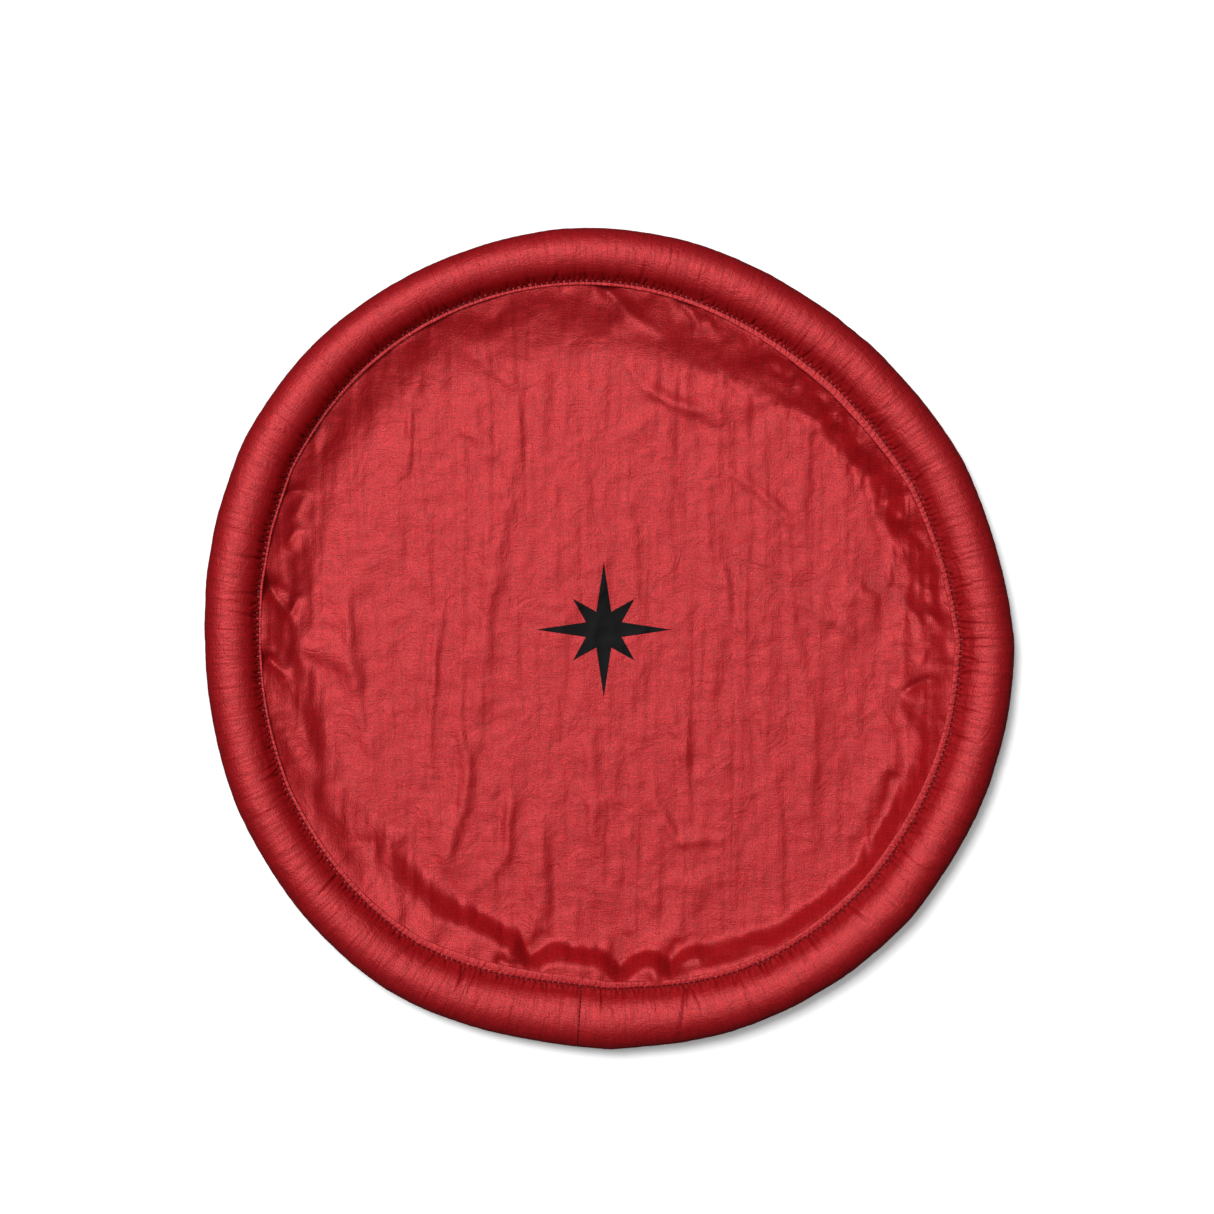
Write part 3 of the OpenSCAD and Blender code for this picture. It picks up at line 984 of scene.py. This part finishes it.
class DISC_OT_panel(bpy.types.Operator):
    """Cuts the round panel from a woven grid, lets it settle in the ring and creases it."""
    bl_idname = "disc.panel"
    bl_label = "Centre panel"

    def execute(self, context):
        sizes = context.scene.disc_sizes
        deselect_all()
        span = 2 * (RIM_OUT + 4 * MM)
        cells = int(span / sizes.panel_cell)
        bpy.ops.mesh.primitive_grid_add(x_subdivisions=cells, y_subdivisions=cells, size=span,
                                        calc_uvs=False)
        panel = context.object
        panel.name = panel.data.name = "centre_panel"
        self.cut_round(panel)
        co = coords(panel)
        x, y = co[:, 0], co[:, 1]
        flat = co[:, :2].copy()
        stray = cloth_field(x, y, 15, 15, 31) * 3 * MM * rumpled(x, y)
        co[:, 2] = panel_height(x, y, stray) - crease_depth(x, y)
        co[:, 2] += cloth_field(x, y, 9, 22.5, 11) * 0.3 * MM
        set_coords(panel, co)
        a = np.arctan2(y, x)
        pinned = np.hypot(x, y) > stitch_r(a) - 0.8 * welt_w(a)
        relax_cloth(panel, pinned, sizes.panel_slack)
        self.name_threads(panel, flat)
        apply_modifier(panel, "SUBSURF", levels=1, render_levels=1)
        self.press(panel)
        apply_modifier(panel, "SOLIDIFY", thickness=sizes.cloth_t, offset=0)
        make_active(panel)
        bpy.ops.object.shade_smooth()
        panel.data.materials.append(nylon("panel_nylon_taffeta", context.scene.disc_colours.cloth,
                                          (6, 60, 0.8)))
        across_fold(panel, "centre_panel_near", "centre_panel_far")
        return {"FINISHED"}

    def cut_round(self, panel):
        """Deletes the grid outside the seam, and brings the cut edge out to the seam's line."""
        edge = 1.2 * MM             # how far the panel runs on past the stitches
        co = coords(panel)
        a = np.arctan2(co[:, 1], co[:, 0])
        outside = np.hypot(co[:, 0], co[:, 1]) > stitch_r(a) + edge + 0.3 * MM
        make_active(panel)
        bpy.ops.object.mode_set(mode="EDIT")
        bpy.ops.mesh.select_mode(type="VERT")
        bpy.ops.mesh.select_all(action="DESELECT")
        bpy.ops.object.mode_set(mode="OBJECT")
        panel.data.vertices.foreach_set("select", outside)
        bpy.ops.object.mode_set(mode="EDIT")
        bpy.ops.mesh.delete(type="VERT")
        bpy.ops.mesh.select_all(action="DESELECT")
        bpy.ops.mesh.select_non_manifold(extend=False)
        bpy.ops.object.mode_set(mode="OBJECT")
        rim = np.empty(len(panel.data.vertices), bool)
        panel.data.vertices.foreach_get("select", rim)
        co = coords(panel)
        a = np.arctan2(co[:, 1], co[:, 0])
        wanted = (stitch_r(a) + edge)[rim]
        co[rim, 0] = wanted * np.cos(a[rim])
        co[rim, 1] = wanted * np.sin(a[rim])
        set_coords(panel, co)

    def name_threads(self, panel, flat):
        """Stores where each point lay on the flat cloth as its UV map, in metres."""
        layer = panel.data.uv_layers.new(name="cloth")
        loops = np.empty(len(panel.data.loops), np.int32)
        panel.data.loops.foreach_get("vertex_index", loops)
        layer.data.foreach_set("uv", flat[loops].astype(np.float32).ravel())

    def press(self, panel):
        """Presses the sharp creases and fine crinkles into the settled panel, and paints shade into the
        creases.
        """
        co = coords(panel)
        x, y = co[:, 0], co[:, 1]
        a = np.arctan2(y, x)
        inward = stitch_r(a) - np.hypot(x, y)
        free = np.clip((inward + 0.2 * MM) / (2.5 * MM), 0, 1)     # from 0 where it is sewn down
        fine = np.abs(cloth_field(x, y, 11, 11, 17, 3)) * -0.45 * MM
        warp = cloth_field(x, y, 7, 60, 19) * 0.27 * MM
        # Gathers run inward from the seam, about 3.4 mm apart and 16 mm long.
        apart = STITCH_R / 3.4
        round_seam = np.stack([apart * np.cos(a), apart * np.sin(a), inward / 16], -1)
        gathers = field(round_seam, MM, 29) * 0.9 * MM
        gathers *= np.exp(-inward / (6 * MM)) * (0.3 + slack_share(x, y))
        creases = crease_depth(x, y)
        # Where the panel climbs, its warp makes short upright wrinkles across the slope.
        stray = cloth_field(x, y, 2.8, 10, 37) * 2.2 * MM * rumpled(x, y)
        slope = panel_height(x, y, stray) - panel_height(x, y)
        folds = FOLD_LIFT * fold_height(x, y) - CREASE_PRESS * creases
        co[:, 2] += free * (fine + warp + gathers + slope + folds)
        table = PANEL_REST - 0.2 * MM
        co[:, 2] = table + rounded_floor(co[:, 2] - table, 0.2 * MM)
        set_coords(panel, co)
        # Painted shade in the creases, darker where they are deeper.
        set_painted_shade(panel, 0.08 * creases / MM)


# ---- sewing ---------------------------------------------------------------------------------

def stitch_lift(t):
    """Height of a thread over its cloth along one stitch, from 0 at a hole to 1 in the middle."""
    return 1 - np.abs(2 * t - 1) ** 4


class DISC_OT_ring_seam(bpy.types.Operator):
    """Sews the ring seam: the needle thread on top of the welt and the bobbin thread below it."""
    bl_idname = "disc.ring_seam"
    bl_label = "Ring seam"

    def execute(self, context):
        sizes = context.scene.disc_sizes
        steps = 10
        a = column_angles(stitch_count(sizes) * steps)
        t = (np.arange(len(a)) % steps) / steps
        thread = spun_thread("ring_seam_polyester_thread", context.scene.disc_colours.thread)
        for name, side, nodes in (
            ("ring_seam_needle_thread", 1, ("rim_needle_thread_near", "rim_needle_thread_far")),
            ("ring_seam_bobbin_thread", -1, ("rim_bobbin_thread_near", "rim_bobbin_thread_far")),
        ):
            r = stitch_r(a) - 0.08 * MM
            z = seam_z(a) + side * (0.02 * MM + 0.46 * MM * stitch_lift(t))
            points = np.stack([r * np.cos(a), r * np.sin(a), z], -1)
            tube = thread_tube(name, points, sizes.thread_d, closed=True)
            tube.data.materials.append(thread)
            across_fold(tube, *nodes)
        return {"FINISHED"}


class DISC_OT_end_seam(bpy.types.Operator):
    """Sews the short seam across the rim that joins the sleeve's two ends."""
    bl_idname = "disc.end_seam"
    bl_label = "Sleeve end seam"

    def execute(self, context):
        sizes = context.scene.disc_sizes
        a = np.full(1, math.radians(END_SEAM_AT + 0.3))
        u, z, v, start = sleeve_profile(a)
        u, z, v = u[0], z[0], v[0]
        keep = slice(start + 1, len(u) - start - 1)     # the cloth between the two welts
        length = v[keep][-1] - v[keep][0]
        count = int(length / (0.85 * sizes.stitch_length))
        steps = 10
        where = np.linspace(v[keep][0], v[keep][-1], count * steps + 1)
        t = (np.arange(len(where)) % steps) / steps
        line_u, line_z = (np.interp(where, v, value) for value in (u, z))
        stretch = RIM_R / tube_half_w(a)[0]
        slope_u, slope_z = np.gradient(line_u), np.gradient(line_z)
        size = np.hypot(slope_u, slope_z)
        out_u, out_z = -slope_z / size, slope_u / size
        thread = spun_thread("end_seam_polyester_thread", context.scene.disc_colours.thread)
        for name, side, node in (("end_seam_needle_thread_line", 1, "end_seam_needle_thread"),
                                 ("end_seam_bobbin_thread_line", -1, "end_seam_bobbin_thread")):
            lift = (0.55 * MM * stitch_lift(t) ** 4 - 0.45 * MM) if side == 1 else -0.7 * MM
            r = stitch_r(a)[0] + line_u + out_u * lift
            height = RIM_Z + (seam_z(a)[0] - RIM_Z + line_z + out_z * lift) * stretch
            height = rounded_floor(height, 0.25 * MM) + 0.02 * MM
            points = np.stack([r * math.cos(a[0]), r * math.sin(a[0]), height], -1)
            tube = thread_tube(name, points, sizes.thread_d, closed=False)
            tube.data.materials.append(thread)
            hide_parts(node)
            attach(tube, NEAR)
        return {"FINISHED"}


# ---- the printed mark -----------------------------------------------------------------------

class DISC_OT_mark(bpy.types.Operator):
    """Prints the eight-pointed star on the panel."""
    bl_idname = "disc.mark"
    bl_label = "Printed mark"

    def execute(self, context):
        long_r = max(MARK_HIGH.x - MARK_LOW.x, MARK_HIGH.y - MARK_LOW.y) / 2
        centre_y = (MARK_HIGH.y + MARK_LOW.y) / 2
        deselect_all()
        bpy.ops.mesh.primitive_circle_add(vertices=16, radius=long_r, fill_type="TRIFAN",
                                          location=(0, centre_y, 0))
        mark = context.object
        mark.name = mark.data.name = "printed_mark"
        bpy.ops.object.transform_apply(location=True)
        self.cut_points(mark, long_r, centre_y)
        make_active(mark)
        bpy.ops.object.mode_set(mode="EDIT")
        bpy.ops.mesh.select_all(action="SELECT")
        bpy.ops.mesh.subdivide(number_cuts=24)
        bpy.ops.object.mode_set(mode="OBJECT")
        # The film is laid on the cloth from well above it.
        co = coords(mark)
        co[:, 2] = 60 * MM
        set_coords(mark, co)
        panel = bpy.data.objects["centre_panel"]
        apply_modifier(mark, "SHRINKWRAP", target=panel, wrap_method="PROJECT",
                       use_project_z=True, use_negative_direction=True,
                       use_positive_direction=False, offset=0.05 * MM)
        outward(mark)
        apply_modifier(mark, "SOLIDIFY", thickness=0.04 * MM, offset=0)
        bpy.ops.object.shade_smooth()
        mark.data.materials.append(screen_ink("screen_print_ink", context.scene.disc_colours.ink))
        across_fold(mark, "printed_mark_near", "printed_mark_far")
        return {"FINISHED"}

    def cut_points(self, mark, long_r, centre_y):
        """Draws the circle's points in, so that it becomes the star. Its hub goes to the centre."""
        co = coords(mark)
        x, y = co[:, 0], co[:, 1] - centre_y
        point = np.round(np.arctan2(y, x) / (TAU / 16)).astype(int) % 4
        radii = np.array([1, MARK_NOTCH, MARK_SHORT, MARK_NOTCH])
        share = np.where(np.hypot(x, y) > long_r / 2, radii[point], 0)
        co[:, 0], co[:, 1] = x * share, y * share + centre_y
        set_coords(mark, co)


# ---- add-on ---------------------------------------------------------------------------------

STEPS = (DISC_OT_stage, DISC_OT_sleeve, DISC_OT_core, DISC_OT_panel, DISC_OT_ring_seam,
         DISC_OT_end_seam, DISC_OT_mark)


class DISC_PT_panel(bpy.types.Panel):
    """Lists the disc's sizes, colours and steps in the sidebar."""
    bl_idname = "DISC_PT_panel"
    bl_label = "Flying Disc"
    bl_space_type = "VIEW_3D"
    bl_region_type = "UI"
    bl_category = "Flying Disc"

    def draw(self, context):
        for group in (context.scene.disc_sizes, context.scene.disc_colours):
            box = self.layout.box()
            for name in group.__annotations__:
                box.prop(group, name)
        for step in STEPS:
            self.layout.operator(step.bl_idname)


CLASSES = (DiscSizes, DiscColours, *STEPS, DISC_PT_panel)


def register():
    for cls in CLASSES:
        bpy.utils.register_class(cls)
    bpy.types.Scene.disc_sizes = bpy.props.PointerProperty(type=DiscSizes)
    bpy.types.Scene.disc_colours = bpy.props.PointerProperty(type=DiscColours)


def unregister():
    del bpy.types.Scene.disc_colours
    del bpy.types.Scene.disc_sizes
    for cls in reversed(CLASSES):
        bpy.utils.unregister_class(cls)


def main():
    register()
    bpy.ops.disc.stage()
    bpy.ops.disc.sleeve()
    bpy.ops.disc.core()
    bpy.ops.disc.panel()
    bpy.ops.disc.ring_seam()
    bpy.ops.disc.end_seam()
    bpy.ops.disc.mark()


if __name__ == "__main__":
    main()
